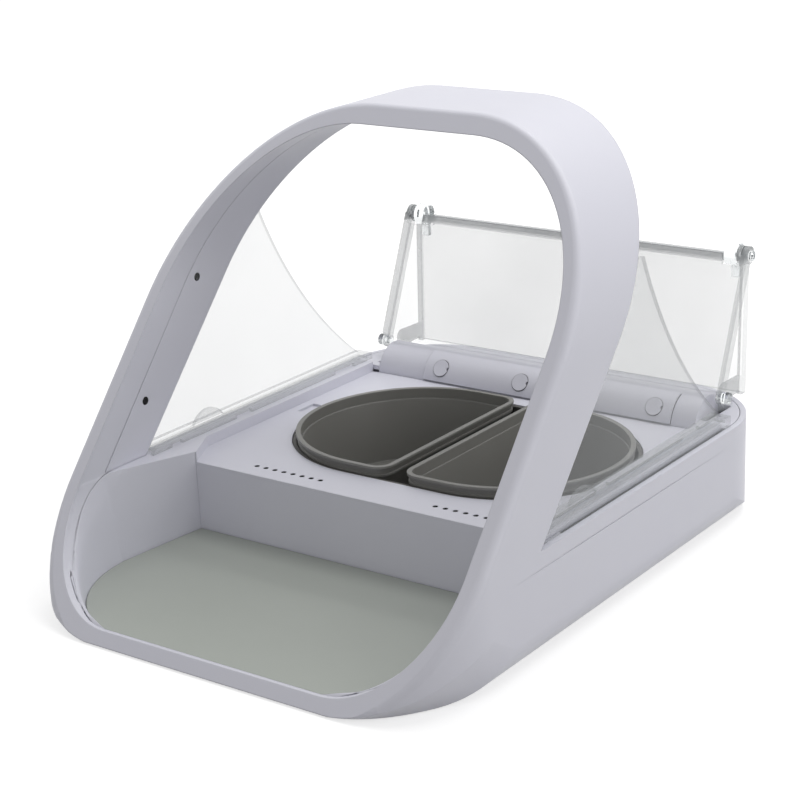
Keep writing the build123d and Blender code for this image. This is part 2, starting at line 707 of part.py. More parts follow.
def make_front_panel():
    """Front panel of the lid: clear plate, side flanges, ears for hinge and rollers."""
    inner = LID_HALF - LID_T
    front = SHUT_EDGE_Y + 1.5
    back = SHUT_FOLD_Y - PANEL_GAP
    plate = block(-LID_HALF, LID_HALF, front, back, PANEL_Z, PANEL_Z + LID_T)
    for x in (-LID_HALF, LID_HALF):
        edge = plate.edges().filter_by(Axis.Z).sort_by_distance((x, front, PANEL_Z))[0]
        plate = fillet(edge, LID_CORNER_R / 3)
    lip = block(-KNOB_IN + 2, KNOB_IN - 2, back - LID_T, back, PANEL_Z - LID_T, PANEL_Z)
    side = block(inner, LID_HALF, SHUT_EDGE_Y, SHUT_FOLD_Y, PANEL_Z - LID_FLANGE, PANEL_Z)
    side += rod_x(inner, LID_HALF, SHUT_FOLD_Y, EDGE_Z, 2 * LID_EAR_R)
    side += rod_x(inner, LID_HALF, SHUT_EDGE_Y, EDGE_Z, 2 * (LID_EAR_R - 1))
    panel = plate + lip + both_sides(side)
    clear = KNOB_R + PANEL_GAP
    panel -= both_sides(
        block(KNOB_IN - FIT, inner, SHUT_FOLD_Y - clear, FAR, 0, FAR)
    )
    bore = PIN_D + 2 * RUN
    panel -= rod_x(-FAR, FAR, SHUT_FOLD_Y, EDGE_Z, bore)
    panel -= rod_x(-FAR, FAR, SHUT_EDGE_Y, EDGE_Z, bore)
    return open_front(panel)


def make_rear_panel():
    """Rear panel of the lid: clear plate, ears and the two arms that reach the shaft."""
    inner = REAR_HALF - ARM_T
    front = SHUT_FOLD_Y + PANEL_GAP
    back = DRIVE_Y - REAR_EDGE_BACK
    plate = block(-REAR_HALF, REAR_HALF, front, back, PANEL_Z, PANEL_Z + LID_T)
    lip = block(-KNOB_IN + 2, KNOB_IN - 2, front, front + LID_T, PANEL_Z - LID_T, PANEL_Z)
    side = block(inner, REAR_HALF, SHUT_FOLD_Y, back, PANEL_Z - REAR_FLANGE, PANEL_Z)
    side += rod_x(inner, REAR_HALF, SHUT_FOLD_Y, EDGE_Z, 2 * LID_EAR_R)
    hub_r = SHAFT_D / 2 + ARM_T
    elbow_y = DRIVE_Y - ARM_ELBOW
    half_w = ARM_W / 2
    arm = outline(
        [
            (DRIVE_Y, DRIVE_Z - half_w),
            (DRIVE_Y, DRIVE_Z + half_w),
            (elbow_y + half_w, DRIVE_Z + half_w),
            (elbow_y + half_w, PANEL_Z),
            (elbow_y - half_w, PANEL_Z),
            (elbow_y - half_w, DRIVE_Z - half_w),
        ],
        [0, 0, half_w, 0, 0, half_w],
    )
    side += along_x(arm, inner, REAR_HALF)
    side += rod_x(inner, REAR_HALF, DRIVE_Y, DRIVE_Z, 2 * hub_r)
    panel = plate + lip + both_sides(side)
    clear = KNOB_R + PANEL_GAP
    panel -= both_sides(
        block(KNOB_IN - FIT, inner, -FAR, SHUT_FOLD_Y + clear, 0, FAR)
    )
    panel -= rod_x(-FAR, FAR, SHUT_FOLD_Y, EDGE_Z, PIN_D + 2 * RUN)
    panel -= rod_x(-FAR, FAR, DRIVE_Y, DRIVE_Z, SHAFT_D + 2 * RUN)
    return open_rear(panel)


def make_fold_knuckles():
    """Barrel and pin of the fold hinge on each side, with a leg under the rear panel."""
    inner = REAR_HALF - ARM_T
    barrel = rod_x(KNOB_IN, inner - FIT, SHUT_FOLD_Y, EDGE_Z, 2 * KNOB_R)
    barrel += rod_x(KNOB_IN, LID_HALF + 1, SHUT_FOLD_Y, EDGE_Z, PIN_D)
    barrel += rod_x(LID_HALF + RUN, LID_HALF + 1.6, SHUT_FOLD_Y, EDGE_Z, PIN_D + 2)
    leg = block(
        KNOB_IN + 1, inner - 1, SHUT_FOLD_Y, SHUT_FOLD_Y + KNOB_LEG, EDGE_Z + 1, PANEL_Z
    )
    return open_rear(Compound(children=[barrel + leg, mirror_x(barrel + leg)]))


def make_edge_rollers():
    """Roller with its axle at each lower corner of the front panel."""
    roller = rod_x(LID_HALF + FIT, ROLLER_OUT, SHUT_EDGE_Y, EDGE_Z, 2 * ROLLER_R)
    roller += rod_x(LID_HALF - LID_T - 1, ROLLER_OUT, SHUT_EDGE_Y, EDGE_Z, PIN_D)
    return open_front(Compound(children=[roller, mirror_x(roller)]))


def make_lid_shaft():
    """Shaft that carries both arms of the lid."""
    return rod_x(-REAR_HALF, REAR_HALF, DRIVE_Y, DRIVE_Z, SHAFT_D)


# ---- drive ---------------------------------------------------------------
def gear(teeth, bore, turn):
    """Spur gear about X, centred on the origin."""
    pitch_r = GEAR_MODULE * teeth / 2
    tip_r = pitch_r + 0.9 * GEAR_MODULE
    root_r = pitch_r - 1.2 * GEAR_MODULE
    pitch_angle = 360 / teeth
    points = []
    for tooth in range(teeth):
        middle = turn + tooth * pitch_angle
        for radius, share in ((root_r, -0.34), (tip_r, -0.13), (tip_r, 0.13), (root_r, 0.34)):
            angle = math.radians(middle + share * pitch_angle)
            points.append((radius * math.cos(angle), radius * math.sin(angle)))
    wheel = along_x(make_face(Polyline(*points, close=True)), -GEAR_W / 2, GEAR_W / 2)
    return wheel - rod_x(-GEAR_W, GEAR_W, 0, 0, bore)


def make_shaft_gear():
    """Gear on the lid shaft; one tooth points at the motor."""
    return Pos(GEAR_X, DRIVE_Y, DRIVE_Z) * gear(GEAR_TEETH, SHAFT_D, 180)


def make_pinion():
    """Motor pinion; the gap between two teeth faces the shaft gear."""
    wheel = gear(PINION_TEETH, 2.0 + 2 * RUN, 180 / PINION_TEETH)
    return Pos(GEAR_X, MOTOR_Y, DRIVE_Z) * wheel


def make_motor():
    """Small geared motor that lies in the drum."""
    start = GEAR_X + GEAR_W / 2 + 1
    can = rod_x(start, start + MOTOR_L, MOTOR_Y, DRIVE_Z, MOTOR_D)
    nose = rod_x(GEAR_X - GEAR_W / 2, start, MOTOR_Y, DRIVE_Z, 2.0)
    tail = rod_x(start + MOTOR_L, start + MOTOR_L + 2, MOTOR_Y, DRIVE_Z, MOTOR_D / 2)
    return can + nose + tail


def make_drive_frame():
    """Frame on the battery bays: bearing posts for the shaft and a cradle for the motor."""
    half = BEARING_X + BEARING_W / 2
    front = CELL_Y - CELL_D / 2
    back = BOARD_Y + BOARD_T + 2
    frame = block(-half, half, front, back, BAY_TOP_Z, FRAME_Z)
    post_r = SHAFT_D / 2 + ARM_T
    for side in (-1, 1):
        x0 = side * BEARING_X - BEARING_W / 2
        x1 = side * BEARING_X + BEARING_W / 2
        post = block(x0, x1, DRIVE_Y - post_r, DRIVE_Y + post_r, FRAME_Z, DRIVE_Z)
        frame += post + rod_x(x0, x1, DRIVE_Y, DRIVE_Z, 2 * post_r)
    start = GEAR_X + GEAR_W / 2 + 4
    cradle_half = MOTOR_D / 2 - 1
    frame += block(
        start, start + MOTOR_L - 6, MOTOR_Y - cradle_half, MOTOR_Y + cradle_half, FRAME_Z, DRIVE_Z - 3
    )
    frame -= rod_x(start - 9, start + MOTOR_L + 9, MOTOR_Y, DRIVE_Z, MOTOR_D + 2 * FIT)
    slot = FIT / 2
    low = FRAME_Z - FRAME_T / 2
    frame -= block(-BOARD_HALF - slot, BOARD_HALF + slot, BOARD_Y - slot, BOARD_Y + BOARD_T + slot, low, FAR)
    frame = frame & body_blank(WALL + FIT)
    return frame - rod_x(-FAR, FAR, DRIVE_Y, DRIVE_Z, SHAFT_D + 2 * RUN)


def drum_profile(inset=0.0):
    """Side view of the drum: a round front and a back that slopes to the shelf."""
    radius = DRUM_R - inset
    slope = math.radians(DRUM_SLOPE)
    top = (DRUM_Y + radius * math.sin(slope), DRUM_Z + radius * math.cos(slope))
    low = DRUM_Z - 0.5
    back_y = top[0] + (top[1] - low) / math.tan(slope)
    front = (DRUM_Y - radius, DRUM_Z)
    crown = (DRUM_Y - radius * math.sin(math.pi / 4), DRUM_Z + radius * math.cos(math.pi / 4))
    edges = [
        Line((front[0], low), front),
        ThreePointArc(front, crown, top),
        Line(top, (back_y, low)),
        Line((back_y, low), (front[0], low)),
    ]
    return make_face(edges)


def make_rear_cover():
    """Drum over the drive and the flat shelf around it, with slots for the lid's arms."""
    inside = body_blank(WALL + FIT)
    shelf = inside & block(-FAR, FAR, DECK_REAR_Y + FIT, FAR, SHELF_Z, WALL_TOP)
    shelf -= block(-DRUM_HALF, DRUM_HALF, 0, DRUM_Y, 0, FAR)
    drum = along_x(drum_profile(), -DRUM_HALF, DRUM_HALF) & inside
    hollow = along_x(drum_profile(COVER_T), -DRUM_HALF + COVER_T, DRUM_HALF - COVER_T)
    cover = shelf + (drum - block(-FAR, FAR, DRUM_Y, FAR, 0, SHELF_Z))
    cover -= hollow
    reach = math.hypot(ARM_ELBOW + ARM_W / 2, ARM_W / 2) + SLOT_GAP
    back = DRIVE_Y + ARM_W / 2 + 2 * SLOT_GAP
    slot = block(DRUM_HALF, REAR_HALF + SLOT_GAP, DRIVE_Y - reach, back, 0, FAR)
    cover -= both_sides(slot)
    for x in cap_places():
        cover -= on_drum(x, DRUM_R - 2 * COVER_T, DRUM_R + 1, SCREW_D + 2 * RUN)
    return cover


def cap_places():
    """Screw caps on the hatch, two either side of its middle."""
    near, far = CAP_SPREAD
    return [HATCH_X - far, HATCH_X - near, HATCH_X + near, HATCH_X + far]


def on_drum(x, r0, r1, diameter):
    """Round bar that stands square on the drum at the caps' angle."""
    bar = Pos(0, 0, (r0 + r1) / 2) * Cylinder(diameter / 2, r1 - r0)
    return Pos(x, DRUM_Y, DRUM_Z) * (Rot(CAP_ANGLE - 90, 0, 0) * bar)


def make_hatch():
    """Curved hatch that lies on the drum."""
    first, last = (math.radians(angle) for angle in HATCH_ANGLES)
    inner, outer = DRUM_R, DRUM_R + HATCH_T

    def at(radius, angle):
        return (DRUM_Y + radius * math.cos(angle), DRUM_Z + radius * math.sin(angle))

    middle = (first + last) / 2
    edges = [
        ThreePointArc(at(inner, first), at(inner, middle), at(inner, last)),
        Line(at(inner, last), at(outer, last)),
        ThreePointArc(at(outer, last), at(outer, middle), at(outer, first)),
        Line(at(outer, first), at(inner, first)),
    ]
    hatch = along_x(make_face(edges), HATCH_X - HATCH_HALF, HATCH_X + HATCH_HALF)
    for x in cap_places():
        hatch -= on_drum(x, DRUM_R - 3, DRUM_R + 3, CAP_D + FIT)
    return hatch


def make_screw_caps():
    """Four round caps that hide the hatch screws."""
    low = DRUM_R + CAP_SEAT
    high = DRUM_R + HATCH_T + CAP_PROUD
    caps = []
    for x in cap_places():
        cap = on_drum(x, low, high, CAP_D)
        caps.append(cap - on_drum(x + CAP_D / 2, low, FAR, 2 * CAP_NOTCH))
    return Compound(children=caps)


def make_hatch_screws():
    """Screws under the caps."""
    top = DRUM_R + CAP_SEAT - RUN
    screws = []
    for x in cap_places():
        head = on_drum(x, DRUM_R + RUN, top, 2 * SCREW_D)
        screws.append(head + on_drum(x, DRUM_R - 2 * COVER_T, top, SCREW_D))
    return Compound(children=screws)


# ---- underside, power and electronics -------------------------------------
def make_base_plate():
    """Flat plate that closes the underside below the bowls."""
    plate = Pos(0, 0, FOOT_STAND) * extrude(base_outline(), amount=BASE_T)
    for x, y in base_screw_places():
        plate -= rod_z(x, y, 0, FAR, SCREW_D + 2 * RUN)
        plate -= rod_z(x, y, 0, FOOT_STAND + BASE_T / 2, 2 * SCREW_D + 2 * RUN)
    return plate


def make_base_screws():
    """Screws of the base plate."""
    screws = []
    for x, y in base_screw_places():
        head = rod_z(x, y, FOOT_STAND + RUN, FOOT_STAND + BASE_T / 2, 2 * SCREW_D)
        screws.append(head + rod_z(x, y, FOOT_STAND + RUN, FOOT_STAND + 2 * WALL, SCREW_D))
    return Compound(children=screws)


def make_battery_box(side):
    """Moulded box over one row of cells, open below."""
    half = CELL_D / 2 + FIT + BAY_WALL
    low = FOOT_STAND + WALL
    box = block(FIT, BAY_OUT + BAY_WALL, CELL_Y - half, CELL_Y + half, low, BAY_TOP_Z)
    box -= cell_bay(1)
    box = box & body_blank(WALL + RUN)
    return box if side > 0 else mirror_x(box)


def make_battery_cover(side):
    """Cover of a battery box, cut from the housing's own outer form."""
    skin = body_blank() - body_blank(WALL)
    cover = skin & cell_bay(1, -BAY_WALL) & block(-FAR, FAR, 0, FAR, 0, 2 * WALL)
    return cover if side > 0 else mirror_x(cover)


def cell(x0):
    """One C cell along X."""
    return rod_x(x0, x0 + CELL_L, CELL_Y, CELL_Z, CELL_D)


def make_cells():
    """Four cells, two in line on each side."""
    cells = []
    for side in (-1, 1):
        for step in range(2):
            one = cell(BAY_IN + SPRING_L + step * CELL_L)
            cells.append(one if side > 0 else mirror_x(one))
    return Compound(children=cells)


def make_battery_contacts():
    """Contact plates at both ends of each row; the inner ones have a sprung dimple."""
    half = CONTACT_W / 2
    inner = block(BAY_IN, BAY_IN + CONTACT_T, CELL_Y - half, CELL_Y + half, CELL_Z - half, CELL_Z + half)
    inner += rod_x(BAY_IN, BAY_IN + SPRING_L - RUN, CELL_Y, CELL_Z, CONTACT_W / 2)
    start = BAY_IN + SPRING_L + 2 * CELL_L + RUN
    outer = block(start, BAY_OUT, CELL_Y - half, CELL_Y + half, CELL_Z - half, CELL_Z + half)
    return Compound(children=[inner, outer, mirror_x(inner), mirror_x(outer)])


def make_board():
    """Circuit board that stands behind the drive, with two switches."""
    low = FRAME_Z - FRAME_T / 2
    board = block(-BOARD_HALF, BOARD_HALF, BOARD_Y, BOARD_Y + BOARD_T, low, low + BOARD_H)
    for x in (-BUTTON_X, BUTTON_X):
        board += block(x - 3, x + 3, BOARD_Y + BOARD_T, BOARD_Y + BOARD_T + 2.8, BUTTON_Z - 3, BUTTON_Z + 3)
    return board


def make_buzzer():
    """Round buzzer on the board."""
    return rod_y(-4, BOARD_Y - 4.5, BOARD_Y, BUTTON_Z, 9.0)


def make_button(side):
    """Push button through the rear wall."""
    x = side * BUTTON_X
    switch_y = BOARD_Y + BOARD_T + 2.8
    stem = rod_y(x, switch_y + BUTTON_TRAVEL + 0.1, HALF_L - WALL - FIT, BUTTON_Z, BUTTON_D / 2)
    flange = rod_y(x, HALF_L - WALL - FIT - 1.4, HALF_L - WALL - FIT, BUTTON_Z, BUTTON_D + 3)
    return stem + flange + rod_y(x, HALF_L - WALL - FIT, HALF_L - FIT, BUTTON_Z, BUTTON_D)


def make_indicator():
    """Clear lens between the buttons."""
    return rod_y(0, BOARD_Y + BOARD_T, HALF_L - RUN, BUTTON_Z, LENS_D)


def make_feet():
    """Four rubber pads."""
    pads = []
    for x, y in ((-78, -112), (78, -112), (-84, 90), (84, 90)):
        pads.append(rod_z(x, y, 0, FOOT_STAND, PAD_D))
    return Compound(children=pads)


PARTS = {
    "housing_hoop": make_housing,
    "hoop_cover": make_hoop_cover,
    "reading_coil": make_coil,
    "sensor_windows": make_sensor_windows,
    "tray_liner": make_tray_liner,
    "tray_mat": make_mat,
    "deck": make_deck,
    "bowl_well": make_well,
    "bowl_left": lambda: make_bowl(-1),
    "bowl_right": lambda: make_bowl(1),
    "shield_left": lambda: make_shield(-1),
    "shield_right": lambda: make_shield(1),
    "lid_front_panel": make_front_panel,
    "lid_rear_panel": make_rear_panel,
    "fold_knuckles": make_fold_knuckles,
    "edge_rollers": make_edge_rollers,
    "lid_shaft": make_lid_shaft,
    "shaft_gear": make_shaft_gear,
    "motor_pinion": make_pinion,
    "motor": make_motor,
    "drive_frame": make_drive_frame,
    "rear_cover": make_rear_cover,
    "drum_hatch": make_hatch,
    "screw_caps": make_screw_caps,
    "hatch_screws": make_hatch_screws,
    "base_plate": make_base_plate,
    "base_screws": make_base_screws,
    "battery_box_left": lambda: make_battery_box(-1),
    "battery_box_right": lambda: make_battery_box(1),
    "battery_cover_left": lambda: make_battery_cover(-1),
    "battery_cover_right": lambda: make_battery_cover(1),
    "battery_cells": make_cells,
    "battery_contacts": make_battery_contacts,
    "circuit_board": make_board,
    "buzzer": make_buzzer,
    "button_left": lambda: make_button(-1),
    "button_right": lambda: make_button(1),
    "indicator_light": make_indicator,
    "rubber_feet": make_feet,
}

os.makedirs("parts", exist_ok=True)
for part_name, make in PARTS.items():
    save(part_name, make())
print(len(PARTS), "nodes written")
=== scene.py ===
"""Microchip pet feeder: the finish of every piece, small trim, camera, floor and light."""

import json
import math

import bmesh
import bpy
from mathutils import Matrix, Vector
from mathutils.bvhtree import BVHTree


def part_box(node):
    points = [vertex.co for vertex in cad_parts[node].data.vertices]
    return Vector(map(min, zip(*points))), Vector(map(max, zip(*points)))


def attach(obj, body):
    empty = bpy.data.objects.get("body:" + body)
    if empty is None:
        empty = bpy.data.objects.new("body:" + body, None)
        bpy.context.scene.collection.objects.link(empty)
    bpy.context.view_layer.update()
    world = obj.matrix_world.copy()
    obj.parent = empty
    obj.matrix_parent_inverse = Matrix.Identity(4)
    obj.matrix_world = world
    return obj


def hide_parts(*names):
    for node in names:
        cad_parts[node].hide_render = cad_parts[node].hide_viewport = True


MM = 0.001

# ---- driving values ----------------------------------------------------------
# camera, as the photograph was taken; metres, degrees, and millimetres for lens and sensor
CAMERA_PLACE = (0.5227, -0.7194, 0.3765)
CAMERA_AZIMUTH = 36.28
CAMERA_ELEVATION = 18.56
CAMERA_ROLL = -2.25
LENS = 90.13
SENSOR = 36.0

# colours, linear
SHELL = (0.70, 0.70, 0.76)
SHELL_SHADE = (0.66, 0.66, 0.74)
MAT = (0.43, 0.455, 0.42)
MAT_SHADE = (0.385, 0.41, 0.375)
BOWL = (0.208, 0.205, 0.19)
BOWL_SHADE = (0.18, 0.177, 0.165)
WELL = (0.085, 0.082, 0.076)
CLEAR = (0.60, 0.62, 0.63)
# darker colour of the clear sheets' cut edges: painted shade
CLEAR_EDGE_SHADE = (0.42, 0.44, 0.45)
CLEAR_KNOB = (0.93, 0.95, 0.955)
DARK = (0.010, 0.010, 0.011)
STEEL = (0.55, 0.56, 0.57)
BRASS = (0.62, 0.43, 0.17)
COPPER = (0.60, 0.27, 0.13)
RUBBER = (0.02, 0.02, 0.02)
BOARD = (0.02, 0.12, 0.05)
CELL = (0.03, 0.03, 0.035)
LENS_TINT = (0.80, 0.92, 0.82)
BUTTON = (0.42, 0.42, 0.45)
BUTTON_SHADE = (0.38, 0.38, 0.41)
WHITE = (1, 1, 1, 1)

# refraction
PLASTIC_IOR = 1.49
CLEAR_IOR = 1.30

# noise: the range it stays in, then waves per metre of each kind
NOISE_LOW = 0.3
NOISE_HIGH = 0.7
COLOUR_DRIFT = 9.0
GLOSS_DRIFT = 60.0
CLEAR_GLOSS_DRIFT = 45.0
CLEAR_WAVES = 55.0
FILM_DRIFT = 14.0
METAL_LINES = 1500.0

# how far gloss drifts, how dark a metal's lines are, and how deep grain, waves and lines are
GLOSS_SPREAD = 0.04
METAL_SPREAD = 0.08
CLEAR_SPREAD = 0.5
SHEET_GLOSS = (0.05, 0.12)
LINE_SHADE = 0.85
GRAIN_DEPTH = 0.3 * MM
WAVE_DEPTH = 0.3 * MM
WAVE_STRENGTH = 0.05
LINE_DEPTH = 0.02 * MM
LINE_STRENGTH = 0.2

# small pieces, millimetres
DECK_Z = 47.4
HOLE_Y = -42.4
HOLE_PITCH = 5.42
HOLE_COUNT = 8
HOLE_STARTS = (-59.7, 42.9)
# profile of the dark cups of painted shade in the deck's holes, as (radius, height)
HOLE_CUP = ((1.24, -0.15), (1.24, -2.2), (0.0001, -2.4), (0.0001, -0.55), (0.95, -0.5))
HOLE_SIDES = 24
DRUM_Y = 119.0
DRUM_Z = 45.5
HATCH_R = 16.4
HATCH_X = 8.2
HATCH_HALF = 73.6
HATCH_HIGH = 105.0
HATCH_LOW = 170.0
HATCH_STEPS = 24
# dark lines of painted shadow in the hatch's gaps: half width, then depth and turn at the lower
# edge, depth and reach at the ends
SHADOW_HALF = 0.16
SHADOW_LOW_DEPTH = 0.95
SHADOW_LOW_TURN = 0.6
SHADOW_END_DEPTH = 1.1
SHADOW_END_OUT = 0.1
CAP_ANGLE = 144.0
CAP_XS = (-55.4, -6.2, 22.6, 71.8)
# dark ring of painted shadow in each cap's gap, as (radius, height)
CAP_RING = ((4.62, -0.5), (4.62, -0.02), (4.74, -0.02), (4.74, -0.5))
CAP_SIDES = 48

# the tray's front corners, which run out smoothly to the face's inner edge; millimetres
FACE_FOOT_Y = -158.0
FACE_SLOPE = math.tan(math.radians(40.0))
# centre and radius of the inner edge's corners, seen from the front
CORNER_X = 59.4
CORNER_Z = 53.2
CORNER_R = 47.0
# depths behind the face at which the move starts, is still whole, and has faded out
RIM_DEPTH = 2.02
STEP_DEPTH = 3.1
FLARE_DEPTH = 30.0
# softness of the move's start, its rise from the mat, its reach over, inside and outside the arc
FLARE_BLEND = 2.0
FLARE_RISE = 6.0
FLARE_OVER = 2.0
FLARE_IN = 1.0
FLARE_OUT = 8.0
# least move that is made, and the move from which a point's normal is all new
FLARE_LEAST = 0.01
FLARE_FULL = 0.2
# how fast the move dies out in the material behind the wall
SQUEEZE = 1.02
SQUEEZE_LEFT = 0.05
# rays that look for the wall: extra depth, and turn in radians
PROBES = ((0, 0), (0.3, 0), (-0.3, 0), (0, 0.012), (0, -0.012))
# cuts behind the face and above the floor, and the region round the corners that they run through
CUT_DEPTHS = (3, 4, 5.5, 7, 9, 11, 13.5, 16, 19, 22, 26, 30)
CUT_HEIGHTS = (6.5, 8, 9.5, 11, 13, 15.5, 18.5, 22, 26, 30, 34, 38, 42, 46, 50, 54)
CUT_SIDE = 15.0
CUT_BEHIND = 30.0
CUT_OVER = 25.0
CUT_WELD = 1e-4
POINT_WELD = 1e-3
# faces that run on smoothly have normals with at least this dot product
SAME_FACE = 0.8
# the mat's upper face, as (y, z)
MAT_FRONT = (-155.0, 5.6)
MAT_REAR = (-52.8, 13.6)
# the bend in the tray's side walls
BEND_Y = -97.0
BEND_SOFT = 9.0
BEND_TOP = 53.4
BEND_NEAR = 0.01

# light; each lamp has a name, place, aim and size in metres, and watts
WORLD_LEVEL = 0.43
LAMPS = (
    ("top", (0.12, 0.50, 1.25), (0, 0, 0.05), (1.2, 1.0), 9.8),
    ("right", (1.3, 0.2, 0.55), (0, 0, 0.08), (1.0, 1.0), 4.6),
    ("left", (-1.2, 0.3, 0.8), (0, 0, 0.12), (1.0, 1.0), 2.2),
)

# floor, metres: its glow where it is seen grows from near the object to far away
FLOOR_HALF = 6.0
FLOOR_DROP = 0.05 * MM
FLOOR_GREY = 0.46
FLOOR_ROUGHNESS = 0.9
FLOOR_GLOW_NEAR = 0.68
FLOOR_GLOW_FAR = 0.86
FLOOR_NEAR = 0.15
FLOOR_FAR = 1.2

# clear sheets: opacity of a broad face, and what a slanted view, a cut edge and the fold add; the
# cut edges' darker colour and denser veil and the fold's denser band are painted shade
SHEETS = ("shield_left", "shield_right", "lid_front_panel", "lid_rear_panel")
LID_VEIL = 0.115
SHIELD_VEIL = 0.045
VEIL_SPREAD = 0.15
SHEET_GLANCE = 0.20
GLANCE_BLEND = 0.25
EDGE_SHADE_VEIL = 0.16
EDGE_FACING = 0.6
FOLD_SHADE_VEIL = 0.34
FOLD_BAND = 7.2 * MM

# rounding of moulded edges, as the shading shows it
EDGE_ROUND = 0.7 * MM
EDGE_SAMPLES = 6


# ---- materials ---------------------------------------------------------------
def darker(colour, share):
    """A share of a colour."""
    return tuple(share * value for value in colour)


def socket_mix(tree, factor, low, high):
    """Mixes two constant colours by a factor socket."""
    node = tree.nodes.new("ShaderNodeMix")
    node.data_type = "RGBA"
    node.inputs["A"].default_value = (*low, 1)
    node.inputs["B"].default_value = (*high, 1)
    tree.links.new(factor, node.inputs["Factor"])
    return node.outputs["Result"]


def noise(tree, scale, detail, roughness=0.5):
    """Noise over the piece's own coordinates, in metres."""
    place = tree.nodes.get("place") or tree.nodes.new("ShaderNodeTexCoord")
    place.name = "place"
    node = tree.nodes.new("ShaderNodeTexNoise")
    node.inputs["Scale"].default_value = scale
    node.inputs["Detail"].default_value = detail
    node.inputs["Roughness"].default_value = roughness
    tree.links.new(place.outputs["Object"], node.inputs["Vector"])
    return node.outputs["Fac"]


def ramp(tree, value, low, high):
    """Maps noise, which stays near a half, to a range."""
    node = tree.nodes.new("ShaderNodeMapRange")
    node.inputs["From Min"].default_value = NOISE_LOW
    node.inputs["From Max"].default_value = NOISE_HIGH
    node.inputs["To Min"].default_value = low
    node.inputs["To Max"].default_value = high
    tree.links.new(value, node.inputs["Value"])
    return node.outputs["Result"]


def bump(tree, height, distance, strength, normal=None):
    """Bump from a height socket; the distance is in metres."""
    node = tree.nodes.new("ShaderNodeBump")
    node.inputs["Distance"].default_value = distance
    node.inputs["Strength"].default_value = strength
    tree.links.new(height, node.inputs["Height"])
    if normal:
        tree.links.new(normal, node.inputs["Normal"])
    return node.outputs["Normal"]


def soft_edges(tree):
    """Normal that turns over each sharp edge as a small rounding does."""
    node = tree.nodes.new("ShaderNodeBevel")
    node.samples = EDGE_SAMPLES
    node.inputs["Radius"].default_value = EDGE_ROUND
    return node.outputs["Normal"]


def start_material(name):
    """New material, its node tree and its principled shader."""
    made = bpy.data.materials.new(name)
    made.use_nodes = True
    return made, made.node_tree, made.node_tree.nodes["Principled BSDF"]


def moulded(name, colour, shade, roughness, grain=0.5, strength=0.06):
    """Moulded plastic or rubber: slow drift of colour and gloss, and a grain in millimetres."""
    made, tree, shader = start_material(name)
    drift = noise(tree, COLOUR_DRIFT, 3.0)
    tree.links.new(socket_mix(tree, drift, shade, colour), shader.inputs["Base Color"])
    smooth_end, rough_end = roughness - GLOSS_SPREAD, roughness + GLOSS_SPREAD
    gloss = ramp(tree, noise(tree, GLOSS_DRIFT, 4.0), smooth_end, rough_end)
    tree.links.new(gloss, shader.inputs["Roughness"])
    height = noise(tree, 1.0 / (grain * MM), 3.0, 0.6)
    face = bump(tree, height, GRAIN_DEPTH, strength, soft_edges(tree))
    tree.links.new(face, shader.inputs["Normal"])
    shader.inputs["IOR"].default_value = PLASTIC_IOR
    return made


def clear_plastic(name, tint, roughness=0.06):
    """Clear moulded knobs and lenses with faint waves in their faces."""
    made, tree, shader = start_material(name)
    shader.inputs["Base Color"].default_value = (*tint, 1)
    shader.inputs["Transmission Weight"].default_value = 1.0
    shader.inputs["IOR"].default_value = CLEAR_IOR
    smooth_end, rough_end = roughness * (1 - CLEAR_SPREAD), roughness * (1 + CLEAR_SPREAD)
    gloss = ramp(tree, noise(tree, CLEAR_GLOSS_DRIFT, 3.0), smooth_end, rough_end)
    tree.links.new(gloss, shader.inputs["Roughness"])
    waves = noise(tree, CLEAR_WAVES, 1.0)
    tree.links.new(bump(tree, waves, WAVE_DEPTH, WAVE_STRENGTH), shader.inputs["Normal"])
    return made


def math_node(tree, operation, first, second):
    """Math node; each input is a socket or a number."""
    node = tree.nodes.new("ShaderNodeMath")
    node.operation = operation
    for socket, value in zip(node.inputs, (first, second)):
        if isinstance(value, (int, float)):
            socket.default_value = value
        else:
            tree.links.new(value, socket)
    return node.outputs[0]


